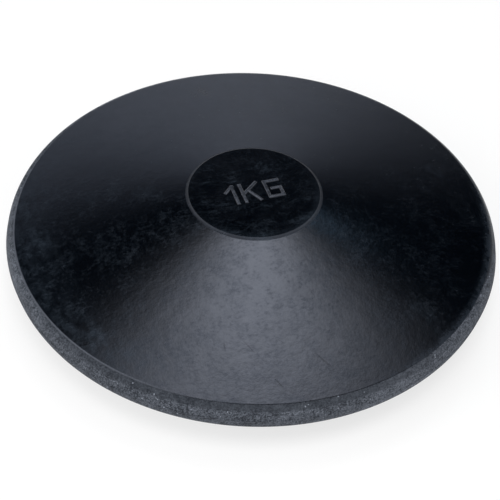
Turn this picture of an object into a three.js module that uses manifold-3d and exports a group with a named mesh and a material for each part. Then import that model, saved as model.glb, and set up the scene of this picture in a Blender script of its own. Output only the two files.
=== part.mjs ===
// A one-kilogram rubber training discus, in millimetres, with +Z up.
// It lies on its lower hub face, whose centre is the origin, and its spin axis is +Z.
// Two rubber halves close over a steel ballast plate. A rubber band runs round the rim and
// keys between the halves, and a hub disc covers the middle of each side.

import * as THREE from "three";
import { mergeVertices } from "three/addons/utils/BufferGeometryUtils.js";
import Module from "manifold-3d";

const wasm = await Module();
wasm.setup();

// Overall sizes of a one-kilogram discus
const discusDiameter = 181;
const centreThickness = 38;
const rimGaugeThickness = 12;
const rimGaugeInset = 6;

// Running sizes that every piece shares
const fitGap = 0.3;
const roundSegments = 72;

// Shoulder where each cone rolls over to meet the rim band
const shoulderWidth = 1.5;
const shoulderDrop = 0.15;

// Hub discs, one on each side
const hubDiameter = 50;
const hubThickness = 3;
const hubStandProud = 0.7;
const hubEdgeWidth = 0.9;
const hubEdgeDrop = 0.6;
const hubSpigotLength = 5;

// Locating dowel through the middle
const dowelDiameter = 10;
const dowelChamfer = 0.8;

// Rim band and the tongue that keys it between the halves
const bandWidth = 2.9;
const bandStep = 0.1;
const tongueDepth = 7.5;
const tongueThickness = 3.2;
const partingRidgeHeight = 0.2;
const partingRidgeWidth = 0.8;

// Steel ballast plate and the rubber keys that fill its holes
const ballastDiameter = 118;
const ballastThickness = 5;
const keyCount = 6;
const keyHoleDiameter = 12;
const keyInset = 20;

// Mass mark on the upper hub disc: a numeral and a unit in straight strokes
const markHeight = 9;
const markStroke = 1;
const markRelief = 0.4;
const markRoot = 0.5;
const numeralWidth = 3.4;
const letterWidth = 5.9;
const numeralSpace = 3.1;
const letterSpace = 3.2;

// Derived sizes, measured up from the middle plane or out from the axis
const middlePlane = centreThickness / 2;
const rimRadius = discusDiameter / 2;
const hubRadius = hubDiameter / 2;
const hubSeatRadius = hubRadius + fitGap;
const hubSeatFloor = middlePlane - hubThickness;
const coneTop = middlePlane - hubStandProud;
const dowelRadius = dowelDiameter / 2;
const boreRadius = dowelRadius + fitGap;
const dowelHalfLength = hubSeatFloor - hubSpigotLength - fitGap;
const bandRadius = rimRadius - bandWidth;
const faceEdgeRadius = bandRadius - fitGap;
const coneSlope = (coneTop - rimGaugeThickness / 2) / (rimRadius - rimGaugeInset - hubSeatRadius);
const faceEdgeHalf = coneTop - coneSlope * (faceEdgeRadius - hubSeatRadius) - shoulderDrop;
const bandHalf = faceEdgeHalf - bandStep;
const tongueHalf = tongueThickness / 2;
const tongueTipRadius = bandRadius - tongueDepth;
const pocketRadius = ballastDiameter / 2 + fitGap;
const pocketDepth = ballastThickness / 2;
const keyCircleRadius = ballastDiameter / 2 - keyInset;
const keyRadius = keyHoleDiameter / 2 - fitGap;

// Materials
const faceRubber = new THREE.MeshStandardMaterial({ color: 0x14171c, roughness: 0.42, metalness: 0 });
const hubRubber = new THREE.MeshStandardMaterial({ color: 0x0d1014, roughness: 0.38, metalness: 0 });
const rimRubber = new THREE.MeshStandardMaterial({ color: 0x3c3f44, roughness: 0.9, metalness: 0 });
const innerRubber = new THREE.MeshStandardMaterial({ color: 0x1d1c1b, roughness: 0.8, metalness: 0 });
const steel = new THREE.MeshStandardMaterial({ color: 0x8b8d90, roughness: 0.45, metalness: 0.9 });

// Shape helpers

/** Turns a profile of [radius, height] pairs about the Z axis. The pairs run anticlockwise. */
function turned(profile) {
  const points = profile.map(([radius, height]) => new THREE.Vector2(radius, height));
  const geometry = new THREE.LatheGeometry(points, roundSegments);
  return geometry.rotateX(Math.PI / 2);
}

/** A ring profile closed on itself. */
function closed(profile) {
  return [...profile, profile[0]];
}

/** The same profile on the other side of the middle plane, still anticlockwise. */
function flipped(profile) {
  return profile.map(([radius, height]) => [radius, -height]).reverse();
}

/** Points along a quarter ellipse, from straight above its centre round to straight out. */
function quarterRound(centreRadius, centreHeight, reach, rise, steps) {
  return Array.from({ length: steps + 1 }, (_, step) => {
    const angle = (step / steps) * (Math.PI / 2);
    return [centreRadius + reach * Math.sin(angle), centreHeight + rise * Math.cos(angle)];
  });
}

/** A full circle, drawn on the given shape or path. */
function circle(path, x, y, radius) {
  return path.absarc(x, y, radius, 0, Math.PI * 2);
}

/** A manifold solid from a closed three.js geometry. */
function solid(geometry) {
  const bare = geometry.clone();
  bare.deleteAttribute("normal");
  bare.deleteAttribute("uv");
  const merged = mergeVertices(bare);
  const mesh = new wasm.Mesh({
    numProp: 3,
    vertProperties: merged.attributes.position.array,
    triVerts: new Uint32Array(merged.index.array),
  });
  return new wasm.Manifold(mesh);
}

/** A three.js geometry from a manifold solid. */
function geometryOf(manifold) {
  const mesh = manifold.getMesh();
  const geometry = new THREE.BufferGeometry();
  geometry.setAttribute("position", new THREE.BufferAttribute(mesh.vertProperties, mesh.numProp));
  geometry.setIndex(new THREE.BufferAttribute(mesh.triVerts, 1));
  geometry.computeVertexNormals();
  return geometry;
}

/** A named sub-part, placed with its middle plane at the discus's own. */
function piece(name, geometry, material) {
  const mesh = new THREE.Mesh(geometry, material);
  mesh.name = name;
  mesh.position.z = middlePlane;
  return mesh;
}

/** Points along the shoulder, from the face edge in to where the straight cone begins. */
function shoulder() {
  const steps = 4;
  return Array.from({ length: steps + 1 }, (_, step) => {
    const inward = step / steps;
    const rise = coneSlope * shoulderWidth * inward;
    const roll = shoulderDrop * (1 - (1 - inward) ** 2);
    return [faceEdgeRadius - shoulderWidth * inward, faceEdgeHalf + rise + roll];
  });
}

// Rubber halves: a cone above, a pocket for the ballast below, and a bore through the middle
function halfBodyProfile() {
  return closed([
    [boreRadius, pocketDepth],
    [pocketRadius, pocketDepth],
    [pocketRadius, 0],
    [tongueTipRadius - fitGap, 0],
    [tongueTipRadius - fitGap, tongueHalf],
    [faceEdgeRadius, tongueHalf],
    ...shoulder(),
    [hubSeatRadius, coneTop],
    [hubSeatRadius, hubSeatFloor],
    [boreRadius, hubSeatFloor],
  ]);
}

// Rim band: a rounded outer edge with a fine parting ridge, and a tongue on its inner side
function rimBandProfile() {
  const roundSteps = 8;
  const ridgeFoot = rimRadius - partingRidgeHeight;
  const round = quarterRound(bandRadius, 0, ridgeFoot - bandRadius, bandHalf, roundSteps);
  const upperRound = round.slice(0, -1).reverse();
  const lowerRound = flipped(upperRound);
  return closed([
    [bandRadius, tongueHalf],
    [tongueTipRadius, tongueHalf],
    [tongueTipRadius, -tongueHalf],
    [bandRadius, -tongueHalf],
    ...lowerRound,
    [ridgeFoot, -partingRidgeWidth / 2],
    [rimRadius, 0],
    [ridgeFoot, partingRidgeWidth / 2],
    ...upperRound,
  ]);
}

// Hub disc: a flat round with a softened edge, and a spigot that enters the bore
function hubDiscProfile() {
  const edgeSteps = 4;
  const flatRadius = hubRadius - hubEdgeWidth;
  const edge = quarterRound(flatRadius, middlePlane - hubEdgeDrop, hubEdgeWidth, hubEdgeDrop, edgeSteps);
  return [
    [0, hubSeatFloor - hubSpigotLength],
    [dowelRadius, hubSeatFloor - hubSpigotLength],
    [dowelRadius, hubSeatFloor],
    [hubRadius, hubSeatFloor],
    ...edge.reverse(),
    [0, middlePlane],
  ];
}

// Mass mark strokes, each from one end to the other, in the plane of the hub face
function markStrokes() {
  const top = markHeight / 2;
  const foot = -top;
  const flagDropShare = 0.34;
  const waistShare = 0.3;
  const barShare = 0.42;
  const length = numeralWidth + numeralSpace + letterWidth + letterSpace + letterWidth;
  const numeralLeft = -length / 2;
  const stem = numeralLeft + numeralWidth;
  const unitLeft = stem + numeralSpace;
  const unitRight = unitLeft + letterWidth;
  const endLeft = unitRight + letterSpace;
  const endRight = endLeft + letterWidth;
  const waist = unitLeft + letterWidth * waistShare;
  const barLeft = endLeft + letterWidth * barShare;
  return [
    [numeralLeft, top - markHeight * flagDropShare, stem, top],
    [stem, top, stem, foot],
    [unitLeft, top, unitLeft, foot],
    [unitRight, top, unitLeft, 0],
    [waist, top * waistShare, unitRight, foot],
    [endLeft, top, endRight, top],
    [endLeft, top, endLeft, foot],
    [endLeft, foot, endRight, foot],
    [endRight, foot, endRight, 0],
    [endRight, 0, barLeft, 0],
  ];
}

/** One raised stroke, a bar with square ends that stands on the hub face. */
function strokeGeometry([startX, startY, endX, endY]) {
  const run = new THREE.Vector2(endX - startX, endY - startY);
  const bar = new THREE.BoxGeometry(run.length() + markStroke, markStroke, markRelief + markRoot);
  bar.rotateZ(run.angle());
  const middleHeight = middlePlane + (markRelief - markRoot) / 2;
  return bar.translate((startX + endX) / 2, (startY + endY) / 2, middleHeight);
}

function upperHubDisc() {
  const disc = solid(turned(hubDiscProfile()));
  const marked = markStrokes().reduce((whole, stroke) => whole.add(solid(strokeGeometry(stroke))), disc);
  return piece("upper_hub_disc", geometryOf(marked), hubRubber);
}

function lowerHubDisc() {
  return piece("lower_hub_disc", turned(flipped(hubDiscProfile())), hubRubber);
}

// Ballast plate: a steel blank with a centre hole and a ring of key holes
function ballastPlate() {
  const outline = circle(new THREE.Shape(), 0, 0, ballastDiameter / 2);
  const centreHole = circle(new THREE.Path(), 0, 0, boreRadius);
  const keyHoles = keyCentres().map(([x, y]) => circle(new THREE.Path(), x, y, keyHoleDiameter / 2));
  outline.holes.push(centreHole, ...keyHoles);
  const plate = new THREE.ExtrudeGeometry(outline, {
    depth: ballastThickness,
    bevelEnabled: false,
    curveSegments: roundSegments / 2,
  });
  return piece("ballast_plate", plate.translate(0, 0, -ballastThickness / 2), steel);
}

/** Centres of the key holes, evenly spaced round the axis, inside the plate's edge. */
function keyCentres() {
  return Array.from({ length: keyCount }, (_, index) => {
    const angle = (index / keyCount) * Math.PI * 2;
    return [keyCircleRadius * Math.cos(angle), keyCircleRadius * Math.sin(angle)];
  });
}

// Rubber keys: plugs that join the two halves through the plate
function rubberKeys() {
  const keySegments = roundSegments / 3;
  return keyCentres().map(([x, y], index) => {
    const plug = new THREE.CylinderGeometry(keyRadius, keyRadius, ballastThickness, keySegments);
    plug.rotateX(Math.PI / 2).translate(x, y, 0);
    return piece(`rubber_key_${index + 1}`, plug, innerRubber);
  });
}

// Locating dowel: a steel pin with chamfered ends
function locatingDowel() {
  const profile = [
    [0, -dowelHalfLength],
    [dowelRadius - dowelChamfer, -dowelHalfLength],
    [dowelRadius, dowelChamfer - dowelHalfLength],
    [dowelRadius, dowelHalfLength - dowelChamfer],
    [dowelRadius - dowelChamfer, dowelHalfLength],
    [0, dowelHalfLength],
  ];
  return piece("locating_dowel", turned(profile), steel);
}

const discus = new THREE.Group();
discus.name = "training_discus";
discus.add(
  piece("upper_half_body", turned(halfBodyProfile()), faceRubber),
  piece("lower_half_body", turned(flipped(halfBodyProfile())), faceRubber),
  piece("rim_band", turned(rimBandProfile()), rimRubber),
  upperHubDisc(),
  lowerHubDisc(),
  ballastPlate(),
  ...rubberKeys(),
  locatingDowel(),
);

export default discus;
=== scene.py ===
# The looks of a one-kilogram rubber training discus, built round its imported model. It lies on
# its lower hub face, whose centre is the origin, with its spin axis along +Z, in metres.

from math import atan2, cos, pi, radians, sin

import bmesh
import bpy
from mathutils import Matrix, Vector


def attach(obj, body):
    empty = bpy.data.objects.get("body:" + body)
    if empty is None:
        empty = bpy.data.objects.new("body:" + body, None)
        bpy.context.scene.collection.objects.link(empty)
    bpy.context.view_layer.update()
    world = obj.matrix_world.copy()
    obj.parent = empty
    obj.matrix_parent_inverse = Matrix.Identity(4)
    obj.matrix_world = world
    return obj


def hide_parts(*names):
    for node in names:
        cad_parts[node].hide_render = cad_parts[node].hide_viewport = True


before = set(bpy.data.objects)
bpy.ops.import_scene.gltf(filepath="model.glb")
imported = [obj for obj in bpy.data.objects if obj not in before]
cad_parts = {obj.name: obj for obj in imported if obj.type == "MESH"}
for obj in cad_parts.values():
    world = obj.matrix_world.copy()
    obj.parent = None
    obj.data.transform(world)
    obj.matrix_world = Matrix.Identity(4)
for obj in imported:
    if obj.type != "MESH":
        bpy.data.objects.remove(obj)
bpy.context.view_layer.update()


# Camera
# The photograph looks down on the upper face from a little under 45 degrees, with a long lens,
# and the picture is turned slightly clockwise. The mark on the hub reads up to the right.
middle_plane = 0.019
rim_radius = 0.0905
picture_width = 500
sight_turn = radians(-20)
sight_lift = radians(44.675)
picture_roll = radians(3.115)
centre_in_picture = Vector((252.156, 229.191))
sight_distance = 5.627 * rim_radius
pixels_per_metre = 243.071 / rim_radius
film_width = 36
near_clip = 0.01

sight_right = Vector((cos(sight_turn), sin(sight_turn), 0))
sight_far = Vector((-sin(sight_turn), cos(sight_turn), 0))
sight_back = Vector((0, 0, sin(sight_lift))) - sight_far * cos(sight_lift)
sight_up = sight_back.cross(sight_right)
frame_right = sight_right * cos(picture_roll) + sight_up * sin(picture_roll)
frame_up = sight_up * cos(picture_roll) - sight_right * sin(picture_roll)
aside, below = (centre_in_picture - Vector((picture_width, picture_width)) / 2) / pixels_per_metre

lens = bpy.data.cameras.new("camera")
lens.sensor_width = film_width
lens.lens = film_width * pixels_per_metre * sight_distance / picture_width
lens.clip_start = near_clip
camera = bpy.data.objects.new("camera", lens)
straight_back = Vector((0, 0, middle_plane)) + sight_back * sight_distance
eye = straight_back - frame_right * aside + frame_up * below
frame_turn = Matrix((frame_right, frame_up, sight_back)).transposed()
camera.matrix_world = Matrix.Translation(eye) @ frame_turn.to_4x4()
bpy.context.scene.collection.objects.link(camera)
bpy.context.scene.camera = camera
bpy.context.scene.view_settings.view_transform = "Standard"


# Ground
# A plain white ground under a plain white studio. It keeps a faint shadow round the discus, which
# fades into pure white, and it is clear from below so that the underside can be looked at.
class Signal:
    """One socket of a shader tree. Sums and products written on it add the Math nodes."""

    def __init__(self, socket):
        self.socket = socket

    def node(self, kind, settings, sockets, outlet=0):
        """Adds a node: its settings first, then the values or links of its sockets."""
        tree = self.socket.id_data
        made = tree.nodes.new(kind)
        for name, setting in settings.items():
            setattr(made, name, setting)
        for name, given in sockets.items():
            if isinstance(given, Signal):
                tree.links.new(given.socket, made.inputs[name])
            else:
                made.inputs[name].default_value = given
        return Signal(made.outputs[outlet])

    def math(self, operation, first, second):
        return self.node("ShaderNodeMath", {"operation": operation}, {0: first, 1: second})

    def __add__(self, other):
        return self.math("ADD", self, other)

    def __sub__(self, other):
        return self.math("SUBTRACT", self, other)

    def __rsub__(self, other):
        return self.math("SUBTRACT", other, self)

    def __mul__(self, other):
        return self.math("MULTIPLY", self, other)

    def __pow__(self, other):
        return self.math("POWER", self, other)

    def most(self, other):
        return self.math("MAXIMUM", self, other)

    def rise(self, start, end):
        """Nought below the start, one past the end, and a smooth rise between them."""
        limits = {"Value": self, "From Min": start, "From Max": end}
        return self.node("ShaderNodeMapRange", {"interpolation_type": "SMOOTHSTEP"}, limits)

    def fall(self, start, end):
        return 1 - self.rise(start, end)

    def length(self):
        return self.node("ShaderNodeVectorMath", {"operation": "LENGTH"}, {0: self}, "Value")

    def apart(self):
        """The three parts of a vector."""
        parts = self.node("ShaderNodeSeparateXYZ", {}, {"Vector": self}).socket.node.outputs
        return [Signal(part) for part in parts]

    __radd__ = __add__
    __rmul__ = __mul__


def fresh_tree(holder, closing_kind):
    """Clears a material's or the world's tree, and gives its closing node and its coordinates."""
    holder.use_nodes = True
    tree = holder.node_tree
    tree.nodes.clear()
    closing = tree.nodes.new(closing_kind)
    places = Signal(tree.nodes.new("ShaderNodeTexCoord").outputs["Object"])
    return closing, places


def seen_directly(signal):
    """One for rays from the camera and for reflected or refracted ones, nought for the rest."""
    path = signal.node("ShaderNodeLightPath", {}, {}).socket.node.outputs
    kinds = ("Is Camera Ray", "Is Glossy Ray", "Is Transmission Ray")
    direct, mirrored, refracted = (Signal(path[kind]) for kind in kinds)
    return direct.most(mirrored).most(refracted)


def stage_object(name, mesh, material):
    """A part of the studio, which isn't part of the discus."""
    prop = bpy.data.objects.new(name, mesh)
    mesh.materials.append(material)
    bpy.context.scene.collection.objects.link(prop)
    return prop


ground_radius = 6
ground_tone = 0.95
shadow_share = 0.3
shadow_reach = 0.3
disc_steps = 64


def ground_material():
    """White to the camera with a share of shadow near the middle, and clear from below."""
    paint = bpy.data.materials.new("white_ground")
    closing, places = fresh_tree(paint, "ShaderNodeOutputMaterial")
    share = shadow_share * places.length().fall(shadow_reach / 2, shadow_reach)
    grey = (ground_tone, ground_tone, ground_tone, 1)
    lit = places.node("ShaderNodeBsdfDiffuse", {}, {"Color": grey})
    white = places.node("ShaderNodeEmission", {}, {"Strength": 1})
    shown = seen_directly(places) * (1 - share)
    top = places.node("ShaderNodeMixShader", {}, {0: shown, 1: lit, 2: white})
    clear = places.node("ShaderNodeBsdfTransparent", {}, {})
    under = Signal(places.node("ShaderNodeNewGeometry", {}, {}).socket.node.outputs["Backfacing"])
    both = places.node("ShaderNodeMixShader", {}, {0: under, 1: top, 2: clear})
    places.socket.id_data.links.new(both.socket, closing.inputs["Surface"])
    return paint


shape = bmesh.new()
bmesh.ops.create_circle(shape, cap_ends=True, segments=disc_steps, radius=ground_radius)
ground_mesh = bpy.data.meshes.new("ground")
shape.to_mesh(ground_mesh)
shape.free()
stage_object("ground", ground_mesh, ground_material())

studio = bpy.data.worlds.new("white_studio")
bpy.context.scene.world = studio
closing, places = fresh_tree(studio, "ShaderNodeOutputWorld")
plain_light = places.node("ShaderNodeBackground", {}, {"Strength": 1.0})
white_beyond = places.node("ShaderNodeBackground", {}, {"Color": (1, 1, 1, 1), "Strength": 1.0})
sky_sockets = {0: seen_directly(places), 1: plain_light, 2: white_beyond}
sky = places.node("ShaderNodeMixShader", {}, sky_sockets)
places.socket.id_data.links.new(sky.socket, closing.inputs["Surface"])


# Studio lights
# An oval soft light over the far side makes the broad sheen on the near slope, with a small cool
# one beyond it. A dark screen behind the discus keeps the rest of the rubber black, and it pales
# low on the left. Soft lamps on the camera's side fill in plain light.
def studio_point(right, far, up):
    """A place in the studio, measured from the middle of the discus as the camera sees it."""
    return sight_right * right + sight_far * far + Vector((0, 0, middle_plane + up))


def glowing(name, colour, glow_of):
    """A material that gives light, by how strong the light is at each place."""
    paint = bpy.data.materials.new(name)
    closing, places = fresh_tree(paint, "ShaderNodeOutputMaterial")
    sockets = {"Color": (*colour, 1), "Strength": glow_of(places)}
    light = places.node("ShaderNodeEmission", {}, sockets)
    places.socket.id_data.links.new(light.socket, closing.inputs["Surface"])
    return paint


def soft_light(name, place, half_sizes, turn, colour, strength, falling):
    """An oval sheet of light overhead, brightest in its middle. It is a unit disc, scaled."""
    def glow(places):
        return strength * places.length().fall(0, 1) ** falling

    shape = bmesh.new()
    bmesh.ops.create_circle(shape, cap_ends=True, segments=disc_steps, radius=1)
    cloth = bpy.data.meshes.new(name)
    shape.to_mesh(cloth)
    shape.free()
    light = stage_object(name, cloth, glowing(name, colour, glow))
    light.location = place
    light.rotation_euler.z = sight_turn + turn
    light.scale = (*half_sizes, 1)
    light.visible_camera = False


soft_light(
    "softbox",
    place=studio_point(0.03, 0.427, 1.2),
    half_sizes=(0.825, 0.584),
    turn=radians(21),
    colour=(0.98, 0.99, 1),
    strength=4.52,
    falling=1.92,
)
soft_light(
    "far_softbox",
    place=studio_point(0.357, 0.952, 1.15),
    half_sizes=(0.21, 0.21),
    turn=0,
    colour=(0.53, 0.79, 1),
    strength=2.1,
    falling=0.52,
)

screen_radius = 1.7
screen_low = radians(8)
screen_high = radians(80)
screen_left = radians(55)
screen_right = radians(66)
screen_tone = 0.002
pale_strength = 0.53
pale_colour = (0.92, 1, 1.17)
pale_top = (radians(18), radians(46))
pale_left_end = (radians(-119), radians(-10.5))
pale_right_end = (radians(-5.5), radians(34))
arc_steps = 24
screen_steps = 48


def screen_glow(places):
    """Dark all over, apart from a pale patch low down on the left."""
    right, far, up = places.apart()
    level = (right ** 2 + far ** 2) ** 0.5
    lift = up.math("ARCTAN2", up, level)
    aside = right.math("ARCTAN2", right, far)
    low = lift.fall(*pale_top)
    left = aside.fall(*pale_right_end) * aside.rise(*pale_left_end)
    return screen_tone + pale_strength * low * left


shape = bmesh.new()
arc = []
for step in range(arc_steps + 1):
    lift = screen_low + (screen_high - screen_low) * step / arc_steps
    arc.append(shape.verts.new((screen_radius * cos(lift), 0, screen_radius * sin(lift))))
rails = [shape.edges.new(pair) for pair in zip(arc, arc[1:])]
bmesh.ops.spin(
    shape,
    geom=arc + rails,
    cent=(0, 0, 0),
    axis=(0, 0, 1),
    angle=screen_left + screen_right,
    steps=screen_steps,
)
start_turn = Matrix.Rotation(pi / 2 - screen_right, 3, "Z")
bmesh.ops.rotate(shape, verts=shape.verts, cent=(0, 0, 0), matrix=start_turn)
screen_mesh = bpy.data.meshes.new("dark_screen")
shape.to_mesh(screen_mesh)
shape.free()
screen = stage_object("dark_screen", screen_mesh, glowing("dark_cloth", pale_colour, screen_glow))
screen.location = (0, 0, middle_plane)
screen.rotation_euler = (0, 0, sight_turn)
screen.visible_camera = False


def soft_lamp(name, place, width, power):
    """A square lamp turned to the discus, kept out of the mirror of polished rubber."""
    light = bpy.data.lights.new(name, "AREA")
    light.size = width
    light.energy = power
    lamp = bpy.data.objects.new(name, light)
    lamp.location = place
    lamp.rotation_euler = (place - Vector((0, 0, middle_plane))).to_track_quat("Z", "Y").to_euler()
    lamp.visible_camera = False
    lamp.visible_glossy = False
    bpy.context.scene.collection.objects.link(lamp)


soft_lamp("front_lamp", studio_point(0, -0.45, 1.15), width=0.45, power=6)
soft_lamp("left_lamp", studio_point(-1.1, -0.5, 0.7), width=0.8, power=5)


# Ballast plate
# A plain mild steel blank, 118 mm across and 5 mm thick, cut with a centre hole and six key
# holes. It lies in the middle plane between the rubber halves and gives the discus its mass.
def new_finish(name):
    """A material with one rubber or metal surface, and the coordinates its patterns use."""
    finish = bpy.data.materials.new(name)
    closing, places = fresh_tree(finish, "ShaderNodeOutputMaterial")
    surface = finish.node_tree.nodes.new("ShaderNodeBsdfPrincipled")
    finish.node_tree.links.new(surface.outputs["BSDF"], closing.inputs["Surface"])
    return finish, surface, places


def settle(surface, **sockets):
    """Sets a surface's sockets to values or links. Spaces in their names are written as _."""
    for name, given in sockets.items():
        socket = surface.inputs[name.replace("_", " ")]
        if isinstance(given, Signal):
            surface.id_data.links.new(given.socket, socket)
        else:
            socket.default_value = given


def noise(places, scale, detail=2.0, roughness=0.5):
    """Even cloudy noise, about a half on average. The scale is in lumps per metre."""
    sockets = {"Vector": places, "Scale": scale, "Detail": detail, "Roughness": roughness}
    return places.node("ShaderNodeTexNoise", {}, sockets)


def between(mask, first, second):
    """A colour that goes from the first to the second as the mask goes from nought to one."""
    start, end = (tone if isinstance(tone, Signal) else (*tone, 1) for tone in (first, second))
    return mask.node("ShaderNodeMix", {"data_type": "RGBA"}, {0: mask, 6: start, 7: end}, 2)


def bump(height, depth):
    """A surface normal from a height between nought and one, and its depth in metres."""
    sockets = {"Height": height, "Distance": depth, "Strength": 1.0}
    return height.node("ShaderNodeBump", {}, sockets)


def stretched(places, right, far, up):
    """The coordinates scaled by three factors, so that a pattern on them is drawn out."""
    return places.node("ShaderNodeMapping", {}, {"Vector": places, "Scale": (right, far, up)})


streak_depth = 0.00002


def rolled_steel():
    """Mild steel with grey mill scale, rolling streaks along X and a few rust blooms."""
    finish, surface, places = new_finish("rolled_steel")
    streaks = noise(stretched(places, 12, 400, 400), 1, detail=3)
    blooms = noise(places, 90, detail=4).rise(0.58, 0.7)
    clean = between(streaks, (0.36, 0.37, 0.38), (0.52, 0.53, 0.54))
    settle(
        surface,
        Base_Color=between(blooms * 0.6, clean, (0.16, 0.07, 0.03)),
        Metallic=1 - 0.8 * blooms,
        Roughness=0.34 + 0.12 * streaks + 0.3 * blooms,
        Normal=bump(streaks, streak_depth),
    )
    return finish


def repaint(node, finish):
    """Gives a carried-over node a new finish in all its material slots."""
    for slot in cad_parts[node].material_slots:
        slot.material = finish


steel_finish = rolled_steel()
repaint("ballast_plate", steel_finish)


# Rubber keys
# Six plugs of plain black rubber, which fill the plate's key holes and join the two halves
# through it. They are cut from pressed stock, with a matt, slightly pitted surface.
pit_depth = 0.00004


def cut_rubber():
    """Plain black rubber, unpolished and slightly pitted."""
    finish, surface, places = new_finish("cut_rubber")
    cloud = noise(places, 220, detail=4)
    pits = noise(places, 2600, detail=1)
    settle(
        surface,
        Base_Color=between(cloud, (0.008, 0.008, 0.008), (0.022, 0.021, 0.02)),
        Roughness=0.7 + 0.2 * cloud,
        Normal=bump(pits, pit_depth),
    )
    return finish


key_finish = cut_rubber()
key_count = 6
for number in range(1, key_count + 1):
    repaint(f"rubber_key_{number}", key_finish)


# Locating dowel
# A turned steel pin, 10 mm across, which centres the plate and both halves. It is the same bare
# steel as the plate.
repaint("locating_dowel", steel_finish)


# Lower half
# The lower rubber cone. It is pressed in a polished mould, so it is nearly black and half
# glossy, and it has a flat back with a pocket for the ballast and a bore for the dowel.
round_steps = 256
fit_gap = 0.00001
hub_radius = 0.025
hub_flat_radius = 0.02398
hub_foot_radius = 0.0245
hub_seat_radius = hub_radius + fit_gap
hub_seat_floor = 0.016
cone_tip = 0.023557
cone_slope = 0.20777
band_inner_radius = 0.0876
face_edge_radius = band_inner_radius - fit_gap
bore_radius = 0.0053
pocket_radius = 0.0593
pocket_depth = 0.0025
tongue_half = 0.0016
tongue_tip_radius = 0.0801
tongue_gap = 0.0003
edge_round = 0.00005
edge_guard = 0.0003
edge_segments = 4
weld_distance = 1e-6


def cone_height(radius):
    """How high the cone's face stands above the middle plane."""
    return cone_tip - cone_slope * radius


face_edge_height = cone_height(face_edge_radius)


def half_outline():
    """Half of the cone's section, above the middle plane, as radius and height."""
    back = [
        (bore_radius, pocket_depth),
        (pocket_radius, pocket_depth),
        (pocket_radius, 0),
        (tongue_tip_radius - tongue_gap, 0),
        (tongue_tip_radius - tongue_gap, tongue_half),
        (face_edge_radius, tongue_half),
    ]
    face_radii = (face_edge_radius, face_edge_radius - edge_guard, hub_seat_radius)
    face = [(radius, cone_height(radius)) for radius in face_radii]
    return [*back, *face, (hub_seat_radius, hub_seat_floor), (bore_radius, hub_seat_floor)]


def turned(outline, ring=True):
    """A section turned once round the axis. A ring's is closed, and another's ends are capped."""
    solid = bmesh.new()
    corners = [solid.verts.new((radius, 0, height)) for radius, height in outline]
    pairs = list(zip(corners, corners[1:]))
    if ring:
        pairs.append((corners[-1], corners[0]))
    sides = [solid.edges.new(pair) for pair in pairs]
    bmesh.ops.spin(
        solid,
        geom=corners + sides,
        cent=(0, 0, 0),
        axis=(0, 0, 1),
        angle=2 * pi,
        steps=round_steps,
        use_merge=True,
    )
    bmesh.ops.remove_doubles(solid, verts=solid.verts, dist=weld_distance)
    bmesh.ops.holes_fill(solid, edges=solid.edges, sides=0)
    bmesh.ops.recalc_face_normals(solid, faces=solid.faces)
    return solid


def round_over(solid, radius, height, width):
    """Rounds the edge that runs round the axis at a radius and height."""
    def on_edge(corner):
        off = max(abs(Vector(corner.co.xy).length - radius), abs(corner.co.z - height))
        return off < 2 * weld_distance

    edges = [edge for edge in solid.edges if all(on_edge(corner) for corner in edge.verts)]
    bmesh.ops.bevel(
        solid,
        geom=edges,
        offset=width,
        affect="EDGES",
        segments=edge_segments,
        profile=0.5,
        material=-1,
        clamp_overlap=True,
    )


sharp_turn = radians(27)


def finished_piece(name, solid, finish, node):
    """Lifts a solid to its place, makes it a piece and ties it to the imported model."""
    bmesh.ops.translate(solid, verts=solid.verts, vec=(0, 0, middle_plane))
    for edge in solid.edges:
        edge.smooth = len(edge.link_faces) == 2 and edge.calc_face_angle() < sharp_turn
    for face in solid.faces:
        face.smooth = True
    mesh = bpy.data.meshes.new(name)
    solid.to_mesh(mesh)
    solid.free()
    mesh.materials.append(finish)
    piece = bpy.data.objects.new(name, mesh)
    bpy.context.scene.collection.objects.link(piece)
    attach(piece, "root")
    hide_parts(node)


def half_solid():
    """One half of the body, with its outer edge just broken."""
    solid = turned(half_outline())
    round_over(solid, face_edge_radius, face_edge_height, edge_round)
    return solid


def upside_down(solid):
    """The same solid on the other side of the middle plane."""
    bmesh.ops.scale(solid, vec=(1, 1, -1), verts=solid.verts)
    bmesh.ops.recalc_face_normals(solid, faces=solid.faces)
    return solid


def axis_radius(places):
    """How far a place is from the spin axis."""
    across, along, _ = places.apart()
    return (across ** 2 + along ** 2) ** 0.5


def facing(places, turn):
    """How much a place lies towards a turn round the axis: one there, nought a quarter turn off
    and less than nought on the far side."""
    across, along, _ = places.apart()
    return (cos(turn) * across + sin(turn) * along) * axis_radius(places) ** -1


spot_depth = 0.006


def spot(places, start, end, width):
    """An oval mark on the upper side: one in its middle, nought at its edge. The ends are places
    to the right and to the far side, as the camera sees them."""
    middle, run = (Vector(start) + Vector(end)) / 2, Vector(end) - Vector(start)
    height = middle_plane + cone_tip - cone_slope * middle.length
    limits = {
        "Vector": places,
        "Location": sight_right * middle.x + sight_far * middle.y + Vector((0, 0, height)),
        "Rotation": (0, 0, sight_turn + atan2(run.y, run.x)),
        "Scale": (run.length / 2, width / 2, spot_depth),
    }
    return places.node("ShaderNodeMapping", {"vector_type": "TEXTURE"}, limits).length().fall(0, 1)


def all_spots(places, spots):
    """Several oval marks together, each with its own strength."""
    return sum(strength * spot(places, start, end, width) for start, end, width, strength in spots)


def swung(places, turn):
    """The coordinates swung round the axis."""
    sockets = {"Vector": places, "Angle": turn}
    return places.node("ShaderNodeVectorRotate", {"rotation_type": "Z_AXIS"}, sockets)


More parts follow.
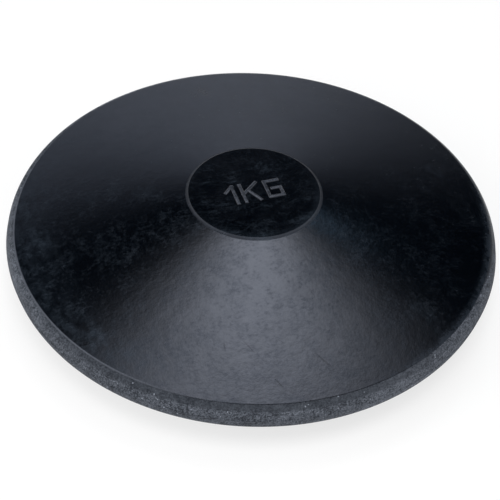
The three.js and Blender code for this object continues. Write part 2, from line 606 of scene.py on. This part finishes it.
black = (0.0001, 0.0006, 0.0015)
dusty = (0.015, 0.021, 0.029)
gloss_tint = (0.76, 0.82, 1.0, 1)
rubbed_places = [
    ((0.062, 0.034), (0.074, 0.025), 0.007, 0.8),
    ((-0.066, -0.052), (-0.036, -0.073), 0.016, 0.6),
    ((0.052, -0.039), (0.067, -0.053), 0.016, 0.6),
    ((-0.084, -0.014), (-0.066, -0.026), 0.013, 0.6),
    ((-0.051, -0.0305), (-0.044, -0.0345), 0.003, 0.6),
    ((-0.037, -0.022), (-0.032, -0.0195), 0.0025, 0.5),
    ((0.024, -0.008), (0.038, -0.021), 0.012, 0.3),
]
dulled_places = [
    ((0.0085, -0.037), (0.03, -0.049), 0.016, 0.25),
    ((-0.028, 0.0765), (-0.0175, 0.0625), 0.005, 1.0),
    ((0.0215, -0.0655), (0.0305, -0.0733), 0.0012, 1.6),
    ((0.009, -0.0765), (0.0142, -0.0822), 0.0012, 1.6),
    ((-0.0076, -0.0645), (-0.0067, -0.0689), 0.0009, 1.2),
    ((-0.0025, -0.063), (0.0043, -0.07), 0.0009, 1.0),
]
bare_edge = (0.06, 0.066, 0.079)
dust_turn = radians(-39)
dust_ring = (0.0845, 0.088)
worn_and_lit_turn = radians(-172)
worn_ring = (0.0869, 0.0873)
# Where the mottled sheet of dust and painted sheen lies on the outer face.
dust_and_sheen_ring = (0.066, 0.087)
scuff_turns = (0.6, 2.2)
face_wave_depth = 0.00016


def moulded_rubber():
    """Black rubber from a polished mould: cloudy haze, rubbed and dulled places, scuffs, a patchy
    gloss, buffing dust on the outer edge at one side, and an edge that the wheel has reached at
    the other. Towards that other side the haze is stronger, which is painted light, and a mottled
    lighter sheet lies on the outer face, partly dust and partly a painted sheen."""
    finish, surface, places = new_finish("moulded_rubber")
    cloud = noise(places, 60, detail=5, roughness=0.75)
    mottle = noise(stretched(places, 250, 180, 200), 1, detail=2, roughness=0.8)
    grain = noise(stretched(places, 600, 1000, 800), 1, detail=2, roughness=0.8)
    scuff_ways = [stretched(swung(places, turn), 45, 1900, 200) for turn in scuff_turns]
    one_way, other_way = (noise(way, 1, detail=1).rise(0.7, 0.76) for way in scuff_ways)
    scuff = one_way.most(other_way) * cloud.rise(0.48, 0.56)
    rubbed = all_spots(places, rubbed_places)
    dulled = all_spots(places, dulled_places)
    radius = axis_radius(places)
    dust_side = facing(places, dust_turn).rise(0.7, 0.97)
    dust = radius.rise(*dust_ring) * dust_side * mottle.rise(0.2, 0.6)
    worn_and_lit_side = facing(places, worn_and_lit_turn).rise(0.45, 0.95)
    worn_edge = worn_and_lit_side * radius.rise(*worn_ring)
    # A mottled lighter sheet towards the worn side: partly dust, partly a painted sheen that
    # widens the sheen there.
    dust_and_sheen_sheet = worn_and_lit_side * radius.rise(*dust_and_sheen_ring) * mottle.rise(0.2, 0.7)
    cloudy = (0.8 * cloud + 0.4 * mottle + 0.5 * grain - 0.83).most(0)
    # The cloudy haze is the rubber's own; making it stronger towards the worn side and weaker on
    # the other is painted light.
    haze = cloudy * (1 + 0.5 * facing(places, worn_and_lit_turn))
    marks = 0.5 * rubbed * mottle.rise(0.3, 0.7) + 0.2 * scuff + 0.6 * dust + 0.3 * dust_and_sheen_sheet
    film = (0.4 * cloud + 0.3 * mottle + 0.3 * grain).fall(0.38, 0.62)
    gloss = (0.2 * (cloud + mottle) + 0.35 * grain - 0.2).most(0.165)
    rubber = between(haze + marks, black, dusty)
    settle(
        surface,
        Base_Color=between(worn_edge * (0.5 + grain), rubber, bare_edge),
        Roughness=gloss + 0.12 * dulled + 0.2 * dust + 0.35 * worn_edge,
        Coat_Weight=0.22 * film,
        Coat_Roughness=0.16,
        Coat_Tint=(0.9, 0.93, 1.0, 1),
        Specular_IOR_Level=0.52,
        Specular_Tint=gloss_tint,
        Normal=bump(noise(places, 45, detail=6, roughness=0.75), face_wave_depth),
    )
    return finish


face_finish = moulded_rubber()
lower_cone = upside_down(half_solid())
finished_piece("lower_cone", lower_cone, face_finish, "lower_half_body")


# Rim band
# A rubber band round the edge, keyed between the halves by a tongue. Its outside is buffed with
# a coarse wheel, so it is matt, grey and grainy, and a thin parting ridge runs round its middle.
ridge_height = 0.0002
ridge_half_width = 0.0004
band_step = 0.0001
band_half = face_edge_height - band_step
band_steps = 14
ridge_foot = rim_radius - ridge_height


def band_outline():
    """The band's section: its tongue, then its outside from the upper edge to the lower one."""
    upper = []
    for step in range(band_steps):
        angle = pi / 2 * step / band_steps
        reach = (ridge_foot - band_inner_radius) * sin(angle)
        upper.append((band_inner_radius + reach, band_half * cos(angle)))
    upper.append((ridge_foot, ridge_half_width))
    lower = [(radius, -height) for radius, height in upper]
    tongue = [
        (band_inner_radius, -tongue_half),
        (tongue_tip_radius, -tongue_half),
        (tongue_tip_radius, tongue_half),
        (band_inner_radius, tongue_half),
    ]
    return [*tongue, *upper, (rim_radius, 0), *reversed(lower)]


unbuffed_turn = radians(-2)
unbuffed_reach = 0.0024
buffed_ring = (0.0866, 0.0874)
near_turn = radians(-110)
parting_edge = (0.0003, 0.0009)
# Heights above which the band's upper part gets painted shade on the near side.
painted_shade_heights = (0.003, 0.0042)
moulded_grey = (0.008, 0.01, 0.013)
buffed_grey = (0.2, 0.22, 0.26)
speck_scale = 300.0
buffing_depth = 0.00025


def round_the_axis(places, turns, radius_scale, height_scale):
    """Coordinates that run round the axis without a seam, for streaks along or across the rim."""
    across, along, up = places.apart()
    radius = axis_radius(places)
    sockets = {
        "X": turns * across * radius ** -1,
        "Y": turns * along * radius ** -1,
        "Z": radius_scale * radius + height_scale * up,
    }
    return places.node("ShaderNodeCombineXYZ", {}, sockets)


def buffed_rubber():
    """Rubber buffed grey: fine dark and pale grain, streaks along the rim, strokes and specks. The
    parting line is darker, and on one side the wheel has left the shoulder nearly black. On the
    near side the upper part of the band is darkened and its grain weakened: painted shade."""
    finish, surface, places = new_finish("buffed_rubber")
    grain = noise(places, 1500, detail=2, roughness=0.9)
    mottle = noise(places, 300, detail=1, roughness=0.8)
    drift = noise(places, 30, detail=3)
    streak = noise(round_the_axis(places, 14, 900, 1500), 1, detail=3, roughness=0.6)
    stroke = noise(round_the_axis(places, 420, 160, 160), 1, detail=2)
    cells = places.node("ShaderNodeTexVoronoi", {}, {"Vector": places, "Scale": speck_scale})
    specks = cells.fall(0.05, 0.11)
    height = ((places.apart()[2] - middle_plane) ** 2) ** 0.5
    parting = height.fall(*parting_edge)
    # Painted shade: on the near side the upper part of the band is darkened, as if in shade.
    painted_shade_upper = height.rise(*painted_shade_heights) * facing(places, near_turn).rise(0.5, 0.9)
    unbuffed_side = facing(places, unbuffed_turn).rise(0.66, 1.02)
    buffed = (axis_radius(places) - unbuffed_reach * unbuffed_side).rise(*buffed_ring)
    fine = 1.8 * (grain - 0.5) * (1 - 0.3 * painted_shade_upper)
    tone = fine + 0.45 * mottle + 0.45 * drift + 0.2 * streak + 0.2 * stroke - 0.43
    grey = tone * (1 - 0.2 * parting - 0.5 * painted_shade_upper) + 0.8 * specks
    settle(
        surface,
        Base_Color=between(grey * (0.12 + 0.88 * buffed), moulded_grey, buffed_grey),
        Roughness=0.35 + (0.4 + 0.2 * grain) * buffed,
        Specular_Tint=gloss_tint,
        Normal=bump(0.8 * grain + 0.2 * streak, buffing_depth),
    )
    return finish


rim_ring = turned(band_outline())
finished_piece("rim_ring", rim_ring, buffed_rubber(), "rim_band")


# Upper half
# The upper rubber cone. It is pressed in the same mould as the lower one, so it has the same
# seat, pocket and bore.
upper_cone = half_solid()
finished_piece("upper_cone", upper_cone, face_finish, "upper_half_body")


# Lower hub
# A plain flat disc of smooth black rubber, on which the discus lies. Its spigot enters the bore,
# and its edge is softened.
spigot_radius = 0.005
spigot_end = 0.011
flat_edge_round = 0.00006
foot_round = 0.00042


def hub_outline():
    """The hub's section from the spigot's end to the flat, as radius and height."""
    below_seat = [(spigot_radius, spigot_end), (spigot_radius, hub_seat_floor)]
    side = [(hub_radius, hub_seat_floor), (hub_radius, cone_height(hub_radius))]
    bank = [(hub_foot_radius, cone_height(hub_foot_radius)), (hub_flat_radius, middle_plane)]
    return [*below_seat, *side, *bank, (hub_flat_radius - edge_guard, middle_plane)]


def hub_solid():
    """A hub disc, rounded where its bank meets the flat and the foot."""
    solid = turned(hub_outline(), ring=False)
    round_over(solid, hub_flat_radius, middle_plane, flat_edge_round)
    round_over(solid, hub_foot_radius, cone_height(hub_foot_radius), foot_round)
    return solid


# Where the hub's colour is lighter near its bank, more towards one side.
bank_lighter_turn = radians(-70)
bank_lighter_ring = (0.0205, 0.024)
bank_ring = (0.0238, 0.0241)
mark_heights = (0.03808, 0.0383)
# Colour of the raised strokes: partly rubbed rubber, partly a painted highlight for their glints.
rubbed_and_glint_mark = (0.06, 0.066, 0.08)
hub_rub = ((-0.0205, 0.0025), (-0.0145, 0.0043), 0.0016)
wipe_turns = (0.3, -0.5)
hub_wave_depth = 0.0001


def hub_rubber():
    """Smoother rubber, in dark and light patches, with wipe marks two ways, a light rub, a duller
    bank and a lighter zone near the bank towards one side. What is raised above the flat is
    painted
    lighter: partly rubbing, partly a painted highlight for its glints."""
    finish, surface, places = new_finish("smooth_hub_rubber")
    cloud = noise(places, 110, detail=4, roughness=0.85)
    grain = noise(places, 900, detail=1, roughness=0.8)
    patches = noise(stretched(places, 70, 150, 100), 1, detail=5, roughness=0.8).rise(0.45, 0.62)
    mottle = noise(places, 500, detail=2, roughness=0.8)
    wipe_ways = [stretched(swung(places, turn), 80, 900, 100) for turn in wipe_turns]
    wipes = [noise(way, 1, detail=3, roughness=0.7) for way in wipe_ways]
    one_way, other_way = (wipe.rise(0.5, 0.7) for wipe in wipes)
    light_rub = spot(places, *hub_rub)
    mist = (1.2 * cloud + 0.5 * grain - 0.78).most(0) + 0.1 * one_way + 0.1 * other_way
    radius = axis_radius(places)
    # The hub's colour is made lighter near its bank, more towards one side and in patches.
    bank_side_lightening = radius.rise(*bank_lighter_ring) * facing(places, bank_lighter_turn).rise(-0.2, 0.8)
    dust = 0.45 * bank_side_lightening * (0.4 + 0.6 * patches)
    haze = mist * (0.05 + 2.2 * patches) + 0.5 * light_rub + dust
    worn = radius.rise(*bank_ring) * (1 - 0.7 * facing(places, near_turn).rise(0, 0.9))
    raised = places.apart()[2].rise(*mark_heights)
    gloss = 0.12 + 0.3 * (cloud - 0.4).most(0)
    settle(
        surface,
        # The raised strokes are painted lighter: partly rubbing, partly a painted highlight for
        # their glints.
        Base_Color=between(0.85 * raised * mottle, between(haze, black, dusty), rubbed_and_glint_mark),
        Roughness=gloss + 0.45 * worn + raised * (0.3 * mottle - 0.04),
        Specular_IOR_Level=0.6,
        Specular_Tint=gloss_tint,
        Normal=bump(noise(places, 60, detail=6, roughness=0.75), hub_wave_depth),
    )
    return finish


hub_finish = hub_rubber()
lower_hub = upside_down(hub_solid())
finished_piece("lower_hub", lower_hub, hub_finish, "lower_hub_disc")


# Upper hub
# The same disc on the upper side. It carries a raised mass mark, a numeral and a unit in plain
# straight strokes with rounded tops. Their colour is lighter: partly rubbed by handling, partly a
# painted highlight for the glints along them.
mark_height = 0.009
mark_stroke = 0.0014
mark_relief = 0.0004
crown_share = 0.45
crown_segments = 6
numeral_stem = -0.0073
numeral_flag = 0.0029
numeral_flag_share = 0.4
unit_left = -0.0043
unit_width = 0.006
unit_arm_share = 0.13
unit_knee_shares = (0.38, 0.29)
unit_leg_share = 0.1
ending_left = 0.00485
ending_right = 0.00995
ending_top = 0.004
ending_foot = -0.0042
ending_bar_inset = 0.0019


def mark_strokes():
    """The strokes' ends, from left to right and from the top down."""
    top, foot = mark_height / 2, -mark_height / 2
    flag_end = (numeral_stem - numeral_flag, numeral_flag_share * top)
    numeral = [(*flag_end, numeral_stem, top), (numeral_stem, top, numeral_stem, foot)]
    unit_right = unit_left + unit_width
    knee_across, knee_up = unit_knee_shares
    knee = (unit_left + knee_across * unit_width, knee_up * top)
    unit = [
        (unit_left, top, unit_left, foot),
        (unit_right, top, unit_left, -unit_arm_share * top),
        (*knee, unit_right - unit_leg_share * unit_width, foot),
    ]
    ending = [
        (ending_left, ending_top, ending_right, ending_top),
        (ending_left, ending_top, ending_left, ending_foot),
        (ending_left, ending_foot, ending_right, ending_foot),
        (ending_right, ending_foot, ending_right, 0),
        (ending_right, 0, ending_left + ending_bar_inset, 0),
    ]
    return numeral + unit + ending


def stroke_solid(start_x, start_y, end_x, end_y):
    """A bar with a rounded top, half sunk in the hub."""
    run = Vector((end_x - start_x, end_y - start_y))
    middle = ((start_x + end_x) / 2, (start_y + end_y) / 2, middle_plane)
    bar = bmesh.new()
    bmesh.ops.create_cube(bar, size=1)
    bmesh.ops.scale(bar, vec=(run.length + mark_stroke, mark_stroke, mark_stroke), verts=bar.verts)
    crown = [edge for edge in bar.edges if all(corner.co.z > 0 for corner in edge.verts)]
    bmesh.ops.bevel(
        bar,
        geom=crown,
        offset=crown_share * mark_stroke,
        affect="EDGES",
        segments=crown_segments,
        profile=0.5,
        material=-1,
    )
    bmesh.ops.scale(bar, vec=(1, 1, 2 * mark_relief / mark_stroke), verts=bar.verts)
    along = Matrix.Rotation(atan2(run.y, run.x), 3, "Z")
    bmesh.ops.rotate(bar, verts=bar.verts, cent=(0, 0, 0), matrix=along)
    bmesh.ops.translate(bar, verts=bar.verts, vec=middle)
    return bar


def loose_object(solid):
    """A solid as an object of its own, for as long as a union needs it."""
    mesh = bpy.data.meshes.new("loose")
    solid.to_mesh(mesh)
    solid.free()
    loose = bpy.data.objects.new("loose", mesh)
    bpy.context.scene.collection.objects.link(loose)
    return loose


def joined(base, added):
    """One solid out of a base and others that cross it and each other."""
    whole, extras = loose_object(base), [loose_object(solid) for solid in added]
    group = bpy.data.collections.new("loose")
    for extra in extras:
        group.objects.link(extra)
    union = whole.modifiers.new("union", "BOOLEAN")
    union.operation = "UNION"
    union.solver = "EXACT"
    union.operand_type = "COLLECTION"
    union.collection = group
    made = whole.evaluated_get(bpy.context.evaluated_depsgraph_get()).to_mesh()
    solid = bmesh.new()
    solid.from_mesh(made)
    for spent in (whole, *extras):
        mesh = spent.data
        bpy.data.objects.remove(spent)
        bpy.data.meshes.remove(mesh)
    bpy.data.collections.remove(group)
    bmesh.ops.dissolve_degenerate(solid, dist=weld_distance, edges=solid.edges)
    return solid


upper_hub = joined(hub_solid(), [stroke_solid(*stroke) for stroke in mark_strokes()])
finished_piece("upper_hub", upper_hub, hub_finish, "upper_hub_disc")
